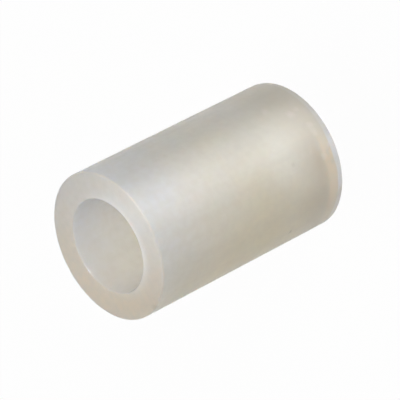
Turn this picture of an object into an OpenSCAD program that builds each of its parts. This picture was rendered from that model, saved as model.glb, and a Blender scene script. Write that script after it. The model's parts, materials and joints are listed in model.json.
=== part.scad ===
// Plain round spacer: a straight sleeve of natural nylon, slipped over a screw
// to hold two parts a set distance apart. It stands on one end, with its bore
// upright along +Z and the origin at the middle of the lower end. All sizes are
// in millimetres.

/* [Body] */
// Outside diameter of the sleeve
outer_d = 10; // [9:0.1:20]
// Length from end face to end face
length = 16; // [4:0.5:60]

/* [Bore] */
// Diameter of the plain bore that the screw passes through
bore_d = 6.4; // [3:0.1:7]

/* [Edges] */
// Radius of the rounded outer rim at each end
rim_r = 0.1; // [0.05:0.05:0.4]
// Radius of the rounded bore mouth at each end
mouth_r = 0.05; // [0.05:0.05:0.4]

/* [Hidden] */
$fn = 128;
outer_r = outer_d / 2;
bore_r = bore_d / 2;
nylon_colour = [0.86, 0.84, 0.79];

// What rounding takes off a square corner at the origin: the corner square,
// less the quarter disc that is left standing.
module corner_waste(radius) {
    difference() {
        square(radius);
        translate([radius, radius]) circle(radius);
    }
}

// The waste at both corners of the wall section's lower end
module end_waste() {
    translate([bore_r, 0]) corner_waste(mouth_r);
    translate([outer_r, 0]) mirror([1, 0]) corner_waste(rim_r);
}

// Wall from the bore to the outside, with all four corners rounded
module wall_section() {
    difference() {
        translate([bore_r, 0]) square([outer_r - bore_r, length]);
        end_waste();
        translate([0, length]) mirror([0, 1]) end_waste();
    }
}

// The whole sleeve, as its wall section turned round the bore's axis
module spacer() {
    color(nylon_colour) rotate_extrude() wall_section();
}

spacer();
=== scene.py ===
"""Look of a plain round nylon spacer that stands on its lower end.

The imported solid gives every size. A finer surface of the same form takes its place, with the finish of
natural nylon, and the camera, the lamps and the floor are set up as for a product picture. Lengths are in
metres.
"""
import json
import logging
import math
from dataclasses import dataclass
from enum import Enum

import bpy
import numpy as np
from mathutils import Matrix, Vector


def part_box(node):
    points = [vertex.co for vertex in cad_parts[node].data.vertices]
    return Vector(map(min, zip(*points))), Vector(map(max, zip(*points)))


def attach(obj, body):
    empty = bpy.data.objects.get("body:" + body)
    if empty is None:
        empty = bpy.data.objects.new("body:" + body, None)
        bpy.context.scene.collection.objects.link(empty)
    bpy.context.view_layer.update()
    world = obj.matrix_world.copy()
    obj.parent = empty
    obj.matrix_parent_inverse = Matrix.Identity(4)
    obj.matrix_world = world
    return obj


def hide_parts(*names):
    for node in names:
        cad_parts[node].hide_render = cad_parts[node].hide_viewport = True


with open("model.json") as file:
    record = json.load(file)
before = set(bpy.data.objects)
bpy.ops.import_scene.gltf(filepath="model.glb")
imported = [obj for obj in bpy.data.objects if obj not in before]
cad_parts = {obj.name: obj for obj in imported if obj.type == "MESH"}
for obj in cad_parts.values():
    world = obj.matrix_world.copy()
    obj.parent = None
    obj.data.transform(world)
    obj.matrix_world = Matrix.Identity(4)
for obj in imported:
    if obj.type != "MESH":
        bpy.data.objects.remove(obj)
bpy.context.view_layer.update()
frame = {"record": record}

LOG = logging.getLogger("spacer")
# mesh attribute with the share of worn rims and of the painted highlight along the bore's lips
RIM_ATTRIBUTE = "rim_wear_and_lip_highlight"
MM = 0.001

Colour = tuple[float, float, float]
Direction = tuple[float, float, float]
Span = tuple[float, float]


class Ray(Enum):
    """Kinds of ray that see the white of the set, as the Light Path node names them."""

    CAMERA = "Is Camera Ray"
    GLOSSY = "Is Glossy Ray"
    TRANSMISSION = "Is Transmission Ray"


class Stain(Enum):
    """Kinds of mark on the outside: dirt specks and pale pinkish spots."""

    DIRT = "dirt"
    PALE_SPOT = "cloud"


@dataclass(frozen=True)
class Mark:
    """Small round mark on the outside, placed by its turn from +X and its height."""

    stain: Stain
    turn_deg: float
    height: float
    radius: float
    strength: float


@dataclass(frozen=True)
class Chip:
    """Small dent in the upper rim, placed by its turn from +X."""

    turn_deg: float
    width: float
    depth: float


@dataclass
class NodeGraph:
    """A node tree with short ways to add and join its nodes."""

    tree: bpy.types.NodeTree

    def add(self, kind: str, **settings: object) -> bpy.types.Node:
        """Adds one node.

        Args:
            kind: Blender's name for the node type.
            settings: Properties of the node, and sockets by name with spaces as underscores.

        Returns:
            The new node.
        """
        node = self.tree.nodes.new(kind)
        for name, value in settings.items():
            if hasattr(node, name):
                setattr(node, name, value)
            else:
                node.inputs[name.replace("_", " ")].default_value = value
        return node

    def join(self, output: bpy.types.NodeSocket, target: bpy.types.NodeSocket) -> None:
        """Links an output socket to an input socket."""
        self.tree.links.new(output, target)

    def math(self, operation: str, *terms: object) -> bpy.types.NodeSocket:
        """Works out a formula of up to three terms.

        Args:
            operation: Name of the Math node's operation.
            terms: Numbers, or sockets that give them.

        Returns:
            The socket that holds the result.
        """
        node = self.add("ShaderNodeMath", operation=operation)
        for socket, term in zip(node.inputs, terms):
            if isinstance(term, bpy.types.NodeSocket):
                self.join(term, socket)
            else:
                socket.default_value = term
        return node.outputs[0]

    def ramp(self, value: bpy.types.NodeSocket, low: float, high: float) -> bpy.types.NodeSocket:
        """Smooth step from 0 at low to 1 at high.

        Args:
            value: Socket with the number to place on the step.
            low: Where the step starts.
            high: Where the step ends.

        Returns:
            The socket that holds the step's height.
        """
        node = self.add("ShaderNodeMapRange", interpolation_type="SMOOTHSTEP")
        self.join(value, node.inputs["Value"])
        node.inputs["From Min"].default_value = low
        node.inputs["From Max"].default_value = high
        return node.outputs["Result"]

    def mix(self, share: bpy.types.NodeSocket, start: object, end: object) -> bpy.types.NodeSocket:
        """Mixes two colours.

        Args:
            share: Socket with the share of the end colour.
            start: Colour, or the socket that gives it.
            end: Colour, or the socket that gives it.

        Returns:
            The socket that holds the mixed colour.
        """
        node = self.add("ShaderNodeMix", data_type="RGBA")
        self.join(share, node.inputs["Factor"])
        for name, colour in (("A", start), ("B", end)):
            socket = next(s for s in node.inputs if s.name == name and s.type == "RGBA")
            if isinstance(colour, bpy.types.NodeSocket):
                self.join(colour, socket)
            else:
                socket.default_value = (*colour, 1.0)
        return next(s for s in node.outputs if s.type == "RGBA")

    def noise(self, place: bpy.types.NodeSocket, size: float, detail: float) -> bpy.types.Node:
        """Adds a noise pattern.

        Args:
            place: Socket with the coordinates that it reads.
            size: Length of its largest features.
            detail: Number of finer layers.

        Returns:
            The noise node, whose height is about 0.5 on average.
        """
        node = self.add("ShaderNodeTexNoise", Scale=1.0 / size, Detail=detail)
        self.join(place, node.inputs["Vector"])
        return node

    def vector(self, operation: str, first: bpy.types.NodeSocket, second: object) -> bpy.types.Node:
        """Adds a vector formula of two terms.

        Args:
            operation: Name of the Vector Math node's operation.
            first: Socket with the first vector.
            second: Vector, or the socket that gives it.

        Returns:
            The node that holds the result.
        """
        node = self.add("ShaderNodeVectorMath", operation=operation)
        self.join(first, node.inputs[0])
        if isinstance(second, bpy.types.NodeSocket):
            self.join(second, node.inputs[1])
        else:
            node.inputs[1].default_value = second
        return node

    def sees_white(self) -> bpy.types.NodeSocket:
        """Returns a socket that is 1 for the rays that see the set's white, and 0 for the rest."""
        path = self.add("ShaderNodeLightPath")
        share = path.outputs[Ray.CAMERA.value]
        for ray in (Ray.GLOSSY, Ray.TRANSMISSION):
            share = self.math("MAXIMUM", share, path.outputs[ray.value])
        return share


def new_material(name: str) -> tuple[bpy.types.Material, NodeGraph]:
    """Makes an empty material.

    Args:
        name: The material's name.

    Returns:
        The material and its node graph.
    """
    material = bpy.data.materials.new(name)
    material.use_nodes = True
    material.node_tree.nodes.clear()
    return material, NodeGraph(material.node_tree)


@dataclass(frozen=True)
class Belt:
    """Band of painted light and shade round the foot: it sets in at top and is full from bottom down.

    Its share of the colour is share all round, and patch_share more in the painted patches round the foot.
    """

    colour: Colour
    top: float
    bottom: float
    share: float
    patch_share: float = 0.0


@dataclass(frozen=True)
class NaturalNylon:
    """Undyed nylon: a milky, partly see-through plastic with a satin skin, with light and shade painted into
    its colour.

    The colour carries a painted warm light on one side and towards the foot, painted light and shade round
    the foot and in the bore, and a painted highlight along the bore's near lip. The lean of a point is its
    distance from the bore's axis towards painted_warm_side. A span is the height of noise where a pattern
    sets in and the height where it is full.
    """

    # Colours
    milk: Colour = (0.862, 0.876, 0.895)
    # straw and peach paint a warm light: straw on the outside, peach on the cut ends, both in the bore
    straw: Colour = (0.88, 0.81, 0.62)
    peach: Colour = (0.92, 0.757, 0.61)
    # painted warm glow of light through the lower end
    apricot: Colour = (0.92, 0.79, 0.67)
    # colour of the pale pinkish spots
    blush: Colour = (0.95, 0.89, 0.86)
    # painted light in the bore's depth
    cream: Colour = (0.96, 0.94, 0.90)
    # worn rims, and the painted highlight along the bore's near lip
    worn_and_painted_highlight: Colour = (0.99, 0.915, 0.82)
    # painted cool reflection in the bore, on the cool side
    painted_cool_reflection: Colour = (0.83, 0.88, 0.985)
    # painted shade near the bore's mouths
    ash: Colour = (0.62, 0.64, 0.68)
    # painted bluish-white reflection on the lower rim
    painted_rim_reflection: Colour = (0.95, 0.96, 0.99)
    # darker tone of the grain's mottling and streaks, and painted shade towards the foot
    shade: Colour = (0.70, 0.67, 0.60)
    dirt: Colour = (0.20, 0.165, 0.125)

    # Light in the nylon and on its skin
    see_through: float = 0.55
    scatter_depth: float = 3.0 * MM
    scatter_tint: Colour = (1.0, 0.86, 0.66)
    depth_colour: Colour = (0.80, 0.74, 0.62)
    depth_density: float = 60.0
    refraction: float = 1.53
    gloss: float = 0.5
    roughness: float = 0.40
    grain_roughness: float = 0.12
    streak_roughness: float = 0.08
    wear_and_highlight_roughness: float = 0.15
    relief: float = 0.006 * MM

    # Painted warm light, by lean and by height
    painted_warm_side: Direction = (-0.84, 0.48, 0.0)
    painted_warm_from: float = -3.5 * MM
    painted_warm_to: float = 4.5 * MM
    unwarmed_above: float = 14.5 * MM
    full_warmth_below: float = 8.0 * MM
    front_above: float = 13.0 * MM
    front_less_warm: float = 0.25
    round_share: float = 0.58
    end_share: float = 0.64
    drift: float = 0.6

    # Cut ends and the bore
    edge_width: float = 0.15 * MM
    mouth_edge: float = 0.05 * MM
    mouth_depth: float = 4.5 * MM
    # painted shade near the bore's mouths
    painted_mouth_shade: float = 0.4
    bore_share: float = 0.85
    bore_blush: float = 0.75
    # painted light in the bore's depth
    painted_deep_light: float = 0.8

    # Painted light and shade in patches round the foot, and worn rims with a painted highlight along the
    # bore's lips
    patches_from: float = -3.4 * MM
    patches_to: float = -1.6 * MM
    patches_fade_from: float = -0.5 * MM
    patches_fade_to: float = 3.0 * MM
    patch_fade: float = 0.8
    patch_span: Span = (0.2, 0.5)
    patch_dulled: float = 0.5
    # band of the painted warm glow, where less light passes the skin so that the glow shows brighter
    painted_glow_top: float = 1.40 * MM
    painted_glow_bottom: float = 1.05 * MM
    foot_waver: float = 0.5 * MM
    wear_and_highlight_span: Span = (0.1, 0.45)
    wear_and_highlight_dulled: float = 0.85

    # Noise patterns
    cloud_size: float = 3.5 * MM
    cloud_layers: float = 3.0
    grain_size: float = 0.5 * MM
    patch_size: float = 1.0 * MM
    streak_size: float = 0.45 * MM
    streak_stretch: float = 0.03
    fine_layers: float = 2.0
    mottle: float = 0.20
    mottle_span: Span = (0.30, 0.70)
    streaks: float = 0.14
    streak_span: Span = (0.35, 0.75)
    wobble: float = 0.30 * MM
    wobble_layers: float = 1.0
    mark_core: float = 0.2

    def belts(self) -> tuple[Belt, ...]:
        """Returns the belts round the foot: painted shade, a painted warm glow and a painted bluish-white
        rim reflection.
        """
        return (
            # painted shade, darker towards the foot
            Belt(self.shade, top=4.5 * MM, bottom=1.6 * MM, share=0.55, patch_share=0.25),
            # painted warm glow of light through the lower end
            Belt(self.apricot, top=self.painted_glow_top, bottom=self.painted_glow_bottom, share=0.05, patch_share=0.95),
            # painted bluish-white reflection on the lower rim
            Belt(self.painted_rim_reflection, top=0.50 * MM, bottom=0.35 * MM, share=0.3, patch_share=0.6),
        )

    def material(self, spacer: "Spacer") -> bpy.types.Material:
        """Builds the nylon's shader.

        Args:
            spacer: The sleeve that it covers, which gives the sizes and the marks.

        Returns:
            The material.
        """
        material, graph = new_material("natural_nylon")
        place = graph.add("ShaderNodeTexCoord").outputs["Object"]
        cloud = graph.noise(place, self.cloud_size, self.cloud_layers).outputs["Fac"]
        grain = graph.noise(place, self.grain_size, self.fine_layers).outputs["Fac"]
        patchy = graph.noise(place, self.patch_size, self.fine_layers).outputs["Fac"]
        drawn = graph.vector("MULTIPLY", place, (1.0, 1.0, self.streak_stretch)).outputs["Vector"]
        streak = graph.noise(drawn, self.streak_size, self.fine_layers).outputs["Fac"]
        parts = graph.add("ShaderNodeSeparateXYZ")
        graph.join(place, parts.inputs["Vector"])
        height = parts.outputs["Z"]
        lean = graph.vector("DOT_PRODUCT", place, self.painted_warm_side).outputs["Value"]
        offset = graph.math("MULTIPLY_ADD", cloud, self.foot_waver, -self.foot_waver / 2)
        wavering = graph.math("ADD", height, offset)
        # where the painted light and shade round the foot are strongest
        painted_foot_patches = self.painted_foot_patches(graph, lean, patchy)
        rim = graph.add("ShaderNodeAttribute", attribute_name=RIM_ATTRIBUTE).outputs["Fac"]
        # worn outer rims, and the painted highlight along the bore's lips, strongest on the near lip
        wear_and_painted_highlight = graph.math("MULTIPLY", rim, graph.ramp(patchy, *self.wear_and_highlight_span))
        colour = self.tone(graph, place, height, lean, cloud, spacer)
        colour = self.mottled(graph, colour, grain, streak)
        colour = self.belted(graph, colour, wavering, painted_foot_patches)
        colour = graph.mix(wear_and_painted_highlight, colour, self.worn_and_painted_highlight)
        colour = self.marked(graph, place, colour, spacer.marks, spacer.outer_r)
        shader = graph.add("ShaderNodeBsdfPrincipled")
        graph.join(colour, shader.inputs["Base Color"])
        graph.join(self.skin(graph, grain, streak, wear_and_painted_highlight), shader.inputs["Roughness"])
        graph.join(self.feel(graph, grain, streak), shader.inputs["Normal"])
        graph.join(self.clearness(graph, wavering, painted_foot_patches, wear_and_painted_highlight), shader.inputs["Transmission Weight"])
        shader.inputs["IOR"].default_value = self.refraction
        shader.inputs["Specular IOR Level"].default_value = self.gloss
        shader.inputs["Subsurface Weight"].default_value = 1.0
        shader.inputs["Subsurface Radius"].default_value = self.scatter_tint
        shader.inputs["Subsurface Scale"].default_value = self.scatter_depth
        inside = graph.add("ShaderNodeVolumeAbsorption")
        inside.inputs["Color"].default_value = (*self.depth_colour, 1.0)
        inside.inputs["Density"].default_value = self.depth_density
        output = graph.add("ShaderNodeOutputMaterial")
        graph.join(shader.outputs["BSDF"], output.inputs["Surface"])
        graph.join(inside.outputs["Volume"], output.inputs["Volume"])
        return material

    def painted_foot_patches(
        self, graph: NodeGraph, lean: bpy.types.NodeSocket, patchy: bpy.types.NodeSocket
    ) -> bpy.types.NodeSocket:
        """Share of the painted patches of light and shade round the foot: patchy, none on the cool side, and
        fading towards painted_warm_side.

        Args:
            graph: Node graph of the material.
            lean: Socket with the lean.
            patchy: Socket with the noise that breaks the patches up.

        Returns:
            The socket that holds the share.
        """
        sets_in = graph.ramp(lean, self.patches_from, self.patches_to)
        fading = graph.ramp(lean, self.patches_fade_from, self.patches_fade_to)
        share = graph.math("MULTIPLY", sets_in, graph.math("MULTIPLY_ADD", fading, -self.patch_fade, 1.0))
        return graph.math("MULTIPLY", share, graph.ramp(patchy, *self.patch_span))

    def clearness(
        self,
        graph: NodeGraph,
        wavering: bpy.types.NodeSocket,
        painted_foot_patches: bpy.types.NodeSocket,
        wear_and_painted_highlight: bpy.types.NodeSocket,
    ) -> bpy.types.NodeSocket:
        """Share of light that passes the skin: less in the patches of the painted glow band round the foot,
        which lets the painted glow show brighter, and on worn rims and the painted lip highlight.

        Args:
            graph: Node graph of the material.
            wavering: Socket with the height above the lower end, made uneven so that the edges waver.
            painted_foot_patches: Socket with the share of the painted patches round the foot.
            wear_and_painted_highlight: Socket with the share of worn nylon and of the painted lip highlight.

        Returns:
            The socket that holds the share.
        """
        # less light passes in the painted glow band, so that the painted glow shows brighter
        painted_glow_band = graph.math("MULTIPLY", graph.ramp(wavering, self.painted_glow_top, self.painted_glow_bottom), painted_foot_patches)
        clear = graph.math("MULTIPLY_ADD", painted_glow_band, -self.patch_dulled * self.see_through, self.see_through)
        return graph.math("MULTIPLY_ADD", wear_and_painted_highlight, -self.wear_and_highlight_dulled * self.see_through, clear)

    def tone(
        self,
        graph: NodeGraph,
        place: bpy.types.NodeSocket,
        height: bpy.types.NodeSocket,
        lean: bpy.types.NodeSocket,
        cloud: bpy.types.NodeSocket,
        spacer: "Spacer",
    ) -> bpy.types.NodeSocket:
        """Colour of the clean nylon, from milk to a painted warm light on one side and towards the foot.

        The painted warm light is straw on the outside, peach on the cut ends and a mix of both in the bore,
        and the bore's painted light and shade are laid over it.

        Args:
            graph: Node graph of the material.
            place: Socket with the object's coordinates.
            height: Socket with the height above the lower end.
            lean: Socket with the lean.
            cloud: Socket with the large noise.
            spacer: The sleeve, which gives the sizes.

        Returns:
            The socket that holds the colour.
        """
        half = spacer.length / 2
        rise = graph.math("ABSOLUTE", graph.math("SUBTRACT", height, half))
        cut_end = graph.ramp(rise, half - self.edge_width, half)
        flat_place = graph.vector("MULTIPLY", place, (1.0, 1.0, 0.0)).outputs["Vector"]
        radius = graph.vector("LENGTH", flat_place, (0.0, 0.0, 0.0)).outputs["Value"]
        in_bore = graph.ramp(radius, spacer.bore_r + self.mouth_edge, spacer.bore_r)
        warm_side_share = graph.ramp(lean, self.painted_warm_from, self.painted_warm_to)
        warm = self.warmth(graph, height, warm_side_share, cut_end, spacer.length)
        warm = graph.math("ADD", warm, graph.math("MULTIPLY_ADD", cloud, self.drift, -self.drift / 2))
        warm = graph.math("MULTIPLY", warm, graph.math("MULTIPLY_ADD", in_bore, self.bore_share - 1, 1.0))
        share = graph.add("ShaderNodeClamp")
        graph.join(warm, share.inputs["Value"])
        pinker = graph.math("MAXIMUM", cut_end, graph.math("MULTIPLY", in_bore, self.bore_blush))
        warm_tone = graph.mix(pinker, self.straw, self.peach)
        colour = graph.mix(share.outputs["Result"], self.milk, warm_tone)
        return self.bored(graph, colour, in_bore, warm_side_share, rise, half)

    def warmth(
        self,
        graph: NodeGraph,
        height: bpy.types.NodeSocket,
        warm_side_share: bpy.types.NodeSocket,
        cut_end: bpy.types.NodeSocket,
        length: float,
    ) -> bpy.types.NodeSocket:
        """Share of the painted warm light.

        On the outside it grows towards painted_warm_side and further down, and on the cut ends towards
        painted_warm_side alone.

        Args:
            graph: Node graph of the material.
            height: Socket with the height above the lower end.
            warm_side_share: Socket that goes from 0 on the cool side to 1 on the side of the painted warm
                light.
            cut_end: Socket that is 1 on the cut ends.
            length: The sleeve's length.

        Returns:
            The socket that holds the share.
        """
        low_down = graph.ramp(height, self.unwarmed_above, self.full_warmth_below)
        lower = graph.math("MULTIPLY", low_down, 1 - self.round_share)
        front = graph.ramp(height, self.front_above, length)
        front_drop = -self.front_less_warm * self.round_share
        round_share = graph.math("MULTIPLY_ADD", front, front_drop, self.round_share)
        on_side = graph.math("MULTIPLY_ADD", warm_side_share, round_share, lower)
        on_end = graph.math("MULTIPLY_ADD", warm_side_share, self.end_share, 1 - self.end_share)
        return graph.math("MULTIPLY_ADD", cut_end, graph.math("SUBTRACT", on_end, on_side), on_side)

    def bored(
        self,
        graph: NodeGraph,
        colour: bpy.types.NodeSocket,
        in_bore: bpy.types.NodeSocket,
        warm_side_share: bpy.types.NodeSocket,
        rise: bpy.types.NodeSocket,
        half: float,
    ) -> bpy.types.NodeSocket:
        """Lays painted light and shade in the bore over a colour.

        They are a painted cool reflection on the cool side, painted shade near the mouths and painted light,
        cream, in the depth.

        Args:
            graph: Node graph of the material.
            colour: Socket with the colour underneath.
            in_bore: Socket that is 1 in the bore.
            warm_side_share: Socket that goes from 0 on the cool side to 1 on the side of the painted warm
                light.
            rise: Socket with the distance above or below the middle of the sleeve.
            half: Half the sleeve's length.

        Returns:
            The socket that holds the colour.
        """
        # painted cool reflection on the bore's cool side
        cool_side_share = graph.math("SUBTRACT", 1.0, warm_side_share)
        colour = graph.mix(graph.math("MULTIPLY", cool_side_share, in_bore), colour, self.painted_cool_reflection)
        # painted shade near the mouths
        near_mouth = graph.math("MULTIPLY", graph.ramp(rise, half - self.mouth_depth, half), in_bore)
        colour = graph.mix(graph.math("MULTIPLY", near_mouth, self.painted_mouth_shade), colour, self.ash)
        # painted light in the depth
        deep = graph.math("MULTIPLY", graph.ramp(rise, half, half - self.mouth_depth), in_bore)
        return graph.mix(graph.math("MULTIPLY", deep, self.painted_deep_light), colour, self.cream)

    def mottled(
        self,
        graph: NodeGraph,
        colour: bpy.types.NodeSocket,
        grain: bpy.types.NodeSocket,
        streak: bpy.types.NodeSocket,
    ) -> bpy.types.NodeSocket:
        """Lays fine mottling and streaks drawn out along the bore over a colour.

        Args:
            graph: Node graph of the material.
            colour: Socket with the colour underneath.
            grain: Socket with the fine noise.
            streak: Socket with the noise drawn out along the bore.

        Returns:
            The socket that holds the mottled colour.
        """
        specks = graph.math("MULTIPLY", graph.ramp(grain, *self.mottle_span), self.mottle)
        colour = graph.mix(specks, colour, self.shade)
        lines = graph.math("MULTIPLY", graph.ramp(streak, *self.streak_span), self.streaks)
        return graph.mix(lines, colour, self.shade)

    def belted(
        self,
        graph: NodeGraph,
        colour: bpy.types.NodeSocket,
        wavering: bpy.types.NodeSocket,
        painted_foot_patches: bpy.types.NodeSocket,
    ) -> bpy.types.NodeSocket:
        """Lays the belts of painted light and shade round the foot over a colour.

        Args:
            graph: Node graph of the material.
            colour: Socket with the colour underneath.
            wavering: Socket with the height above the lower end, made uneven so that the edges waver.
            painted_foot_patches: Socket with the share of the painted patches round the foot.

        Returns:
            The socket that holds the belted colour.
        """
        for belt in self.belts():
            strength = graph.math("MULTIPLY_ADD", painted_foot_patches, belt.patch_share, belt.share)
            share = graph.math("MULTIPLY", graph.ramp(wavering, belt.top, belt.bottom), strength)
            colour = graph.mix(share, colour, belt.colour)
        return colour

    def marked(
        self,
        graph: NodeGraph,
        place: bpy.types.NodeSocket,
        colour: bpy.types.NodeSocket,
        marks: tuple[Mark, ...],
        outer_r: float,
    ) -> bpy.types.NodeSocket:
        """Lays the marks over a colour, each as a soft spot with an uneven edge.

        Args:
            graph: Node graph of the material.
            place: Socket with the object's coordinates.
            colour: Socket with the colour underneath.
            marks: The marks.
            outer_r: Radius of the outside that carries them.

        Returns:
            The socket that holds the marked colour.
        """
        stains = {Stain.DIRT: self.dirt, Stain.PALE_SPOT: self.blush}
        jitter = graph.noise(place, self.wobble, self.wobble_layers).outputs["Color"]
        shift = graph.vector("MULTIPLY", jitter, (self.wobble,) * 3).outputs["Vector"]
        rough_place = graph.vector("ADD", place, shift).outputs["Vector"]
        mean_shift = Vector((self.wobble,) * 3) / 2
        for mark in marks:
            turn = math.radians(mark.turn_deg)
            spot = Vector((outer_r * math.cos(turn), outer_r * math.sin(turn), mark.height))
            away = graph.vector("DISTANCE", rough_place, spot + mean_shift).outputs["Value"]
            soft = graph.ramp(away, mark.radius, self.mark_core * mark.radius)
            share = graph.math("MULTIPLY", soft, mark.strength)
            colour = graph.mix(share, colour, stains[mark.stain])
        return colour

    def skin(
        self,
        graph: NodeGraph,
        grain: bpy.types.NodeSocket,
        streak: bpy.types.NodeSocket,
        wear_and_painted_highlight: bpy.types.NodeSocket,
    ) -> bpy.types.NodeSocket:
        """Roughness of the satin skin: it varies with grain and streaks, and worn rims and the painted lip
        highlight are duller.

        Args:
            graph: Node graph of the material.
            grain: Socket with the fine noise.
            streak: Socket with the noise drawn out along the bore.
            wear_and_painted_highlight: Socket with the share of worn nylon and of the painted lip highlight.

        Returns:
            The socket that holds the roughness.
        """
        least = self.roughness - (self.grain_roughness + self.streak_roughness) / 2
        level = graph.math("MULTIPLY_ADD", grain, self.grain_roughness, least)
        level = graph.math("MULTIPLY_ADD", streak, self.streak_roughness, level)
        return graph.math("MULTIPLY_ADD", wear_and_painted_highlight, self.wear_and_highlight_roughness, level)

    def feel(
        self, graph: NodeGraph, grain: bpy.types.NodeSocket, streak: bpy.types.NodeSocket
    ) -> bpy.types.NodeSocket:
        """Fine relief of the skin: grain and drawn streaks a few thousandths of a millimetre high.

        Args:
            graph: Node graph of the material.
            grain: Socket with the fine noise.
            streak: Socket with the noise drawn out along the bore.

        Returns:
            The socket that holds the tilted normal.
        """
        bump = graph.add("ShaderNodeBump", Distance=self.relief)
        graph.join(graph.math("ADD", grain, streak), bump.inputs["Height"])
        return bump.outputs["Normal"]


@dataclass
class Spacer:
    """The sleeve: a wall section turned round the bore's axis, which is +Z."""

    outer_r: float
    bore_r: float
    length: float
    mouth_r: float
    rim_r: float = 0.1 * MM
    rim_reach: float = 0.10 * MM
    rim_rub: float = 0.28
    # the painted highlight along the bore's lips: its reach and, below, its share on the far lip
    lip_reach: float = 0.35 * MM
    far_lip: float = 0.05
    wander: float = 0.015 * MM
    wander_waves: tuple[int, ...] = (5, 11, 23)
    chips: tuple[Chip, ...] = (
        Chip(turn_deg=200, width=0.25 * MM, depth=0.09 * MM),
        Chip(turn_deg=256, width=0.45 * MM, depth=0.08 * MM),
    )
    marks: tuple[Mark, ...] = (
        Mark(Stain.DIRT, turn_deg=197.0, height=15.90 * MM, radius=0.36 * MM, strength=0.2),
        Mark(Stain.DIRT, turn_deg=206.5, height=4.4 * MM, radius=0.20 * MM, strength=0.38),
        Mark(Stain.DIRT, turn_deg=261.5, height=3.8 * MM, radius=0.22 * MM, strength=0.10),
        Mark(Stain.PALE_SPOT, turn_deg=308, height=3.1 * MM, radius=0.40 * MM, strength=0.45),
        Mark(Stain.PALE_SPOT, turn_deg=296, height=1.8 * MM, radius=0.40 * MM, strength=0.45),
        Mark(Stain.PALE_SPOT, turn_deg=298, height=1.1 * MM, radius=0.30 * MM, strength=0.30),
        Mark(Stain.PALE_SPOT, turn_deg=282, height=1.1 * MM, radius=0.35 * MM, strength=0.45),
        Mark(Stain.PALE_SPOT, turn_deg=276, height=1.1 * MM, radius=0.40 * MM, strength=0.45),
        Mark(Stain.PALE_SPOT, turn_deg=263.5, height=0.5 * MM, radius=0.25 * MM, strength=0.38),
        Mark(Stain.PALE_SPOT, turn_deg=257, height=1.2 * MM, radius=0.35 * MM, strength=0.38),
        Mark(Stain.PALE_SPOT, turn_deg=256, height=15.9 * MM, radius=0.50 * MM, strength=0.52),
    )
    turns: int = 384
    wall_rows: int = 40
    face_rows: int = 20
    round_rows: int = 8

    @classmethod
    def from_frame(cls) -> "Spacer":
        """Reads the sleeve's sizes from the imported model: its box, and the bore that its record states."""
        low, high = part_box("spacer")
        bore = next(m for m in frame["record"]["mounts"] if m["name"] == "screw_bore")
        length = high.z - low.z
        return cls(
            outer_r=(high.x - low.x) / 2,
            bore_r=bore["dims"]["r_mm"] * MM,
            length=length,
            mouth_r=(length - bore["dims"]["length_mm"] * MM) / 2,
        )

    @staticmethod
    def eased(rows: int) -> np.ndarray:
        """Steps from 0 to 1, leaving out 1, that crowd at both ends as half a cosine wave does."""
        return (1 - np.cos(np.pi * np.arange(rows) / rows)) / 2

    def line(self, start: tuple[float, float], end: tuple[float, float], rows: int) -> np.ndarray:
        """Straight stretch of the section, with its points crowded at the ends.

        Args:
            start: Radius and height where it starts.
            end: Radius and height where it ends.
            rows: Number of points, the end left out.

        Returns:
            Points as rows of radius and height.
        """
        share = self.eased(rows)[:, None]
        return np.array(start) * (1 - share) + np.array(end) * share

    def arc(self, centre: tuple[float, float], radius: float, start_deg: float) -> np.ndarray:
        """Quarter circle that turns clockwise from start_deg, with its end left out.

        Args:
            centre: Radius and height of the circle's centre.
            radius: The circle's radius.
            start_deg: Angle of the first point, anticlockwise from the outward direction.

        Returns:
            Points as rows of radius and height.
        """
        angle = np.radians(start_deg - 90 * np.arange(self.round_rows) / self.round_rows)
        return np.array(centre) + radius * np.stack([np.cos(angle), np.sin(angle)], axis=1)

    def section(self) -> np.ndarray:
        """Closed outline of the wall.

        It goes up the bore, out over the upper end, down the outside and in under the lower end.

        Returns:
            Points as rows of radius and height.
        """
        inner, outer, top = self.bore_r, self.outer_r, self.length
        mouth, rim = self.mouth_r, self.rim_r
        return np.concatenate([
            self.line((inner, mouth), (inner, top - mouth), self.wall_rows),
            self.arc((inner + mouth, top - mouth), mouth, 180),
            self.line((inner + mouth, top), (outer - rim, top), self.face_rows),
            self.arc((outer - rim, top - rim), rim, 90),
            self.line((outer, top - rim), (outer, rim), self.wall_rows),
            self.arc((outer - rim, rim), rim, 0),
            self.line((outer - rim, 0), (inner + mouth, 0), self.face_rows),
            self.arc((inner + mouth, mouth), mouth, 270),
        ])

    def rims(self) -> list[tuple[float, float, float]]:
        """Corners of the wall before rounding, each as radius, height and the reach of its worn edge."""
        return [
            (radius, height, self.rim_reach)
            for radius in (self.bore_r, self.outer_r)
            for height in (0.0, self.length)
        ]

    def nearness(self, rim: tuple[float, float, float]) -> np.ndarray:
        """Bell curve of each section point's distance from a rim: 1 at the rim, and falling over its reach.

        Args:
            rim: Radius, height and reach.

        Returns:
            One number for each point of the section.
        """
        radius, height, reach = rim
        section = self.section()
        away = np.hypot(section[:, 0] - radius, section[:, 1] - height)
        return np.exp(-((away / reach) ** 2))

    def worn_and_painted_highlight(self) -> np.ndarray:
        """Share of worn nylon along the outer rims, and of a painted highlight along the bore's lips, most
        on the near lip on the side of -Y.

        Returns:
            One number for each point of the surface's grid.
        """
        outer = np.max([self.nearness(rim) for rim in self.rims() if rim[0] == self.outer_r], axis=0)
        lip_r = self.bore_r + self.mouth_r / 2
        lip_rims = [(lip_r, height, self.lip_reach) for height in (0.0, self.length)]
        lips = np.max([self.nearness(rim) for rim in lip_rims], axis=0)
        turn = 2 * np.pi * np.arange(self.turns) / self.turns
        # the painted lip highlight is full on the near lip at -Y and falls to far_lip on the far one
        facing = self.far_lip + (1 - self.far_lip) * ((1 - np.sin(turn)) / 2) ** 2
        return np.maximum(self.rim_rub * outer[None, :], facing[:, None] * lips[None, :])

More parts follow.
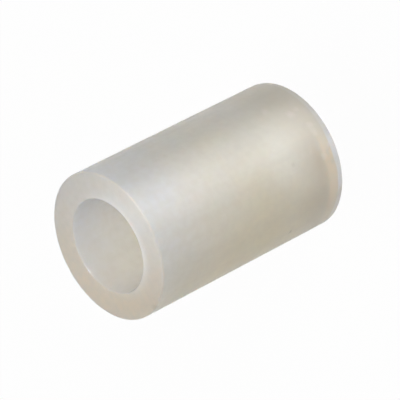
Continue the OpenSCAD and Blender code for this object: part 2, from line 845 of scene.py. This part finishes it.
    def loss(self) -> list[np.ndarray]:
        """Depth that each rim has lost round the turn.

        A rim wanders as the mean of a few sine waves. The upper outer rim also has its chips, each a bell
        curve round its turn.

        Returns:
            For each rim, one number for each turn.
        """
        turn = 2 * np.pi * np.arange(self.turns) / self.turns
        lost = []
        for phase in range(len(self.rims())):
            waves = [np.sin(count * turn + step * phase) for step, count in enumerate(self.wander_waves, 1)]
            lost.append(self.wander * (np.mean(waves, axis=0) + 1) / 2)
        for chip in self.chips:
            away = (turn - math.radians(chip.turn_deg) + np.pi) % (2 * np.pi) - np.pi
            lost[-1] += chip.depth * np.exp(-((away * self.outer_r / chip.width) ** 2))
        return lost

    def surface(self) -> np.ndarray:
        """Turns the section round +Z: each point is radius times (cos turn, sin turn), at its own height.

        Near a rim, the point is first drawn back into the wall by the rim's loss, along the corner's
        diagonal.

        Returns:
            Grid of points, one row for each turn and one column for each point of the section.
        """
        section = self.section()
        turn = 2 * np.pi * np.arange(self.turns)[:, None] / self.turns
        radius = np.repeat(section[None, :, 0], self.turns, axis=0)
        height = np.repeat(section[None, :, 1], self.turns, axis=0)
        for rim, lost in zip(self.rims(), self.loss()):
            drawn = lost[:, None] * self.nearness(rim)[None, :] * math.sqrt(0.5)
            radius += drawn if rim[0] == self.bore_r else -drawn
            height += drawn if rim[1] == 0.0 else -drawn
        height = np.clip(height, 0.0, self.length)
        return np.stack([radius * np.cos(turn), radius * np.sin(turn), height], axis=-1)

    def build(self) -> bpy.types.Object:
        """Makes the sleeve's mesh from its grid, which closes on itself both ways.

        Returns:
            The new object, at the origin.
        """
        grid = self.surface()
        turns, rows = grid.shape[:2]
        index = np.arange(turns * rows).reshape(turns, rows)
        next_turn = np.roll(index, -1, axis=0)
        quads = np.stack(
            [index, np.roll(index, -1, axis=1), np.roll(next_turn, -1, axis=1), next_turn], axis=-1
        )
        mesh = bpy.data.meshes.new("spacer_sleeve")
        mesh.from_pydata(grid.reshape(-1, 3), [], quads.reshape(-1, 4).tolist())
        mesh.polygons.foreach_set("use_smooth", np.ones(len(mesh.polygons), dtype=bool))
        layer = mesh.attributes.new(RIM_ATTRIBUTE, "FLOAT", "POINT")
        layer.data.foreach_set("value", self.worn_and_painted_highlight().ravel().astype(np.float32))
        mesh.update()
        sleeve = bpy.data.objects.new("spacer_sleeve", mesh)
        bpy.context.scene.collection.objects.link(sleeve)
        return sleeve

    def dress(self, sleeve: bpy.types.Object) -> None:
        """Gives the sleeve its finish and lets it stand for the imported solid.

        Args:
            sleeve: The object that build made.
        """
        sleeve.data.materials.append(NaturalNylon().material(self))
        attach(sleeve, "root")
        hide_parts("spacer")


@dataclass(frozen=True)
class PictureView:
    """Camera that sees the spacer as the picture does, from a fit to its rims and its bore."""

    frame_px: float = 400.0
    focal_px: float = 3913.0
    upper_end_px: tuple[float, float] = (107.6, 246.6)
    distance: float = 244.4 * MM
    tilt_deg: float = 53.46
    rise_deg: float = 27.08
    sensor: float = 36.0
    near_clip: float = 10 * MM
    far_clip: float = 20.0

    def axes(self) -> tuple[Vector, Vector, Vector]:
        """Directions of the picture in the spacer's frame.

        The view leans tilt_deg off the bore's axis. The lower end lies rise_deg above the picture's right.

        Returns:
            Unit vectors to the picture's right, to its top and into it.
        """
        tilt = math.radians(self.tilt_deg)
        rise = math.radians(self.rise_deg)
        level = Vector((1, 0, 0))
        upright = Vector((0, math.cos(tilt), math.sin(tilt)))
        right = -math.sin(rise) * level - math.cos(rise) * upright
        up = math.cos(rise) * level - math.sin(rise) * upright
        return right, up, Vector((0, math.sin(tilt), -math.cos(tilt)))

    def build(self, upper_end: Vector) -> bpy.types.Object:
        """Makes the camera and puts it in use.

        Args:
            upper_end: Centre of the spacer's upper end.

        Returns:
            The camera.
        """
        right, up, into = self.axes()
        pixel = self.distance / self.focal_px
        centre = self.frame_px / 2
        across = (self.upper_end_px[0] - centre) * pixel
        above = (centre - self.upper_end_px[1]) * pixel
        data = bpy.data.cameras.new("picture_view")
        data.sensor_width = self.sensor
        data.lens = self.sensor * self.focal_px / self.frame_px
        data.clip_start = self.near_clip
        data.clip_end = self.far_clip
        camera = bpy.data.objects.new("picture_view", data)
        turn = Matrix((right, up, -into)).transposed()
        camera.matrix_world = Matrix.Translation(
            upper_end - right * across - up * above - into * self.distance
        ) @ turn.to_4x4()
        bpy.context.scene.collection.objects.link(camera)
        bpy.context.scene.camera = camera
        return camera


@dataclass(frozen=True)
class Lamp:
    """Soft lamp. Azimuth 0 is on the camera's side, 90 on the side of +X; elevation is above the floor."""

    name: str
    azimuth_deg: float
    elevation_deg: float
    power: float
    distance: float = 300 * MM
    width: float = 160 * MM
    height: float = 160 * MM
    spread_deg: float = 180.0

    def direction(self) -> Vector:
        """Returns the unit vector from the spacer to the lamp."""
        azimuth = math.radians(self.azimuth_deg)
        elevation = math.radians(self.elevation_deg)
        level = math.cos(elevation)
        return Vector((math.sin(azimuth) * level, -math.cos(azimuth) * level, math.sin(elevation)))

    def build(self, target: Vector) -> bpy.types.Object:
        """Makes the lamp and aims it.

        Args:
            target: Point that the lamp aims at.

        Returns:
            The lamp.
        """
        data = bpy.data.lights.new(self.name, "AREA")
        data.shape = "RECTANGLE"
        data.size = self.width
        data.size_y = self.height
        data.spread = math.radians(self.spread_deg)
        data.energy = self.power
        lamp = bpy.data.objects.new(self.name, data)
        direction = self.direction()
        turn = direction.to_track_quat("Z", "Y").to_matrix().to_4x4()
        lamp.matrix_world = Matrix.Translation(target + direction * self.distance) @ turn
        lamp.visible_camera = False
        bpy.context.scene.collection.objects.link(lamp)
        return lamp


@dataclass(frozen=True)
class Studio:
    """The set: a white floor that glows as a light table does, an even white surround and soft lamps."""

    floor_half: float = 3.0
    floor_gap: float = 0.02 * MM
    floor_colour: Colour = (0.92, 0.92, 0.92)
    floor_glow: float = 0.97
    floor_light: float = 0.386
    surround: float = 0.0833
    lamps: tuple[Lamp, ...] = (
        Lamp(
            "strip", azimuth_deg=13, elevation_deg=4, power=0.000106,
            distance=60 * MM, width=1.5 * MM, height=22 * MM, spread_deg=5.5,
        ),
        Lamp("left_fill", azimuth_deg=292, elevation_deg=10, power=0.125),
        Lamp(
            "kicker", azimuth_deg=20, elevation_deg=75, power=0.000101,
            distance=13 * MM, width=2 * MM, height=2 * MM,
        ),
        Lamp("back_softbox", azimuth_deg=180, elevation_deg=60, power=0.399),
        Lamp("front_softbox", azimuth_deg=22, elevation_deg=35, power=0.348),
    )

    def floor(self) -> bpy.types.Object:
        """Makes the floor: a square just under the spacer, white to the eye, that keeps a pale shadow.

        Returns:
            The floor.
        """
        half, height = self.floor_half, -self.floor_gap
        signs = ((-1, -1), (1, -1), (1, 1), (-1, 1))
        corners = [(half * across, half * along, height) for across, along in signs]
        mesh = bpy.data.meshes.new("studio_floor")
        mesh.from_pydata(corners, [], [(0, 1, 2, 3)])
        material, graph = new_material("floor_white")
        material.cycles.emission_sampling = "NONE"
        matt = graph.add("ShaderNodeBsdfDiffuse", Color=(*self.floor_colour, 1.0))
        glow = graph.add("ShaderNodeEmission")
        blend = graph.add("ShaderNodeMixShader")
        span = self.floor_glow - self.floor_light
        share = graph.math("MULTIPLY_ADD", graph.sees_white(), span, self.floor_light)
        graph.join(share, blend.inputs["Fac"])
        graph.join(matt.outputs["BSDF"], blend.inputs[1])
        graph.join(glow.outputs["Emission"], blend.inputs[2])
        graph.join(blend.outputs["Shader"], graph.add("ShaderNodeOutputMaterial").inputs["Surface"])
        mesh.materials.append(material)
        floor = bpy.data.objects.new("studio_floor", mesh)
        bpy.context.scene.collection.objects.link(floor)
        return floor

    def sky(self) -> None:
        """Makes the surround: an even light, which is white where it is seen."""
        world = bpy.data.worlds.new("white_surround")
        world.use_nodes = True
        world.node_tree.nodes.clear()
        graph = NodeGraph(world.node_tree)
        light = graph.add("ShaderNodeBackground", Color=(1.0, 1.0, 1.0, 1.0))
        span = graph.math("MULTIPLY_ADD", graph.sees_white(), 1.0 - self.surround, self.surround)
        graph.join(span, light.inputs["Strength"])
        graph.join(light.outputs["Background"], graph.add("ShaderNodeOutputWorld").inputs["Surface"])
        bpy.context.scene.world = world

    def build(self, target: Vector) -> None:
        """Makes the floor, the surround and the lamps.

        Args:
            target: Point that the lamps aim at.
        """
        self.floor()
        self.sky()
        for lamp in self.lamps:
            lamp.build(target)
        bpy.context.scene.view_settings.view_transform = "Standard"


def main() -> None:
    """Builds the spacer, the camera and the set in order, and keeps both boxes."""
    logging.basicConfig(level=logging.INFO, format="%(name)s: %(message)s")
    spacer = Spacer.from_frame()
    sleeve = spacer.build()
    spacer.dress(sleeve)
    LOG.info("%s: %d vertices, %d faces", sleeve.name, len(sleeve.data.vertices), len(sleeve.data.polygons))
    view = PictureView()
    camera = view.build(Vector((0, 0, spacer.length)))
    LOG.info("%s: lens %.1f mm", camera.name, camera.data.lens)
    studio = Studio()
    studio.build(Vector((0, 0, spacer.length / 2)))
    LOG.info("studio: %d lamps", len(studio.lamps))


if __name__ == "__main__":
    main()
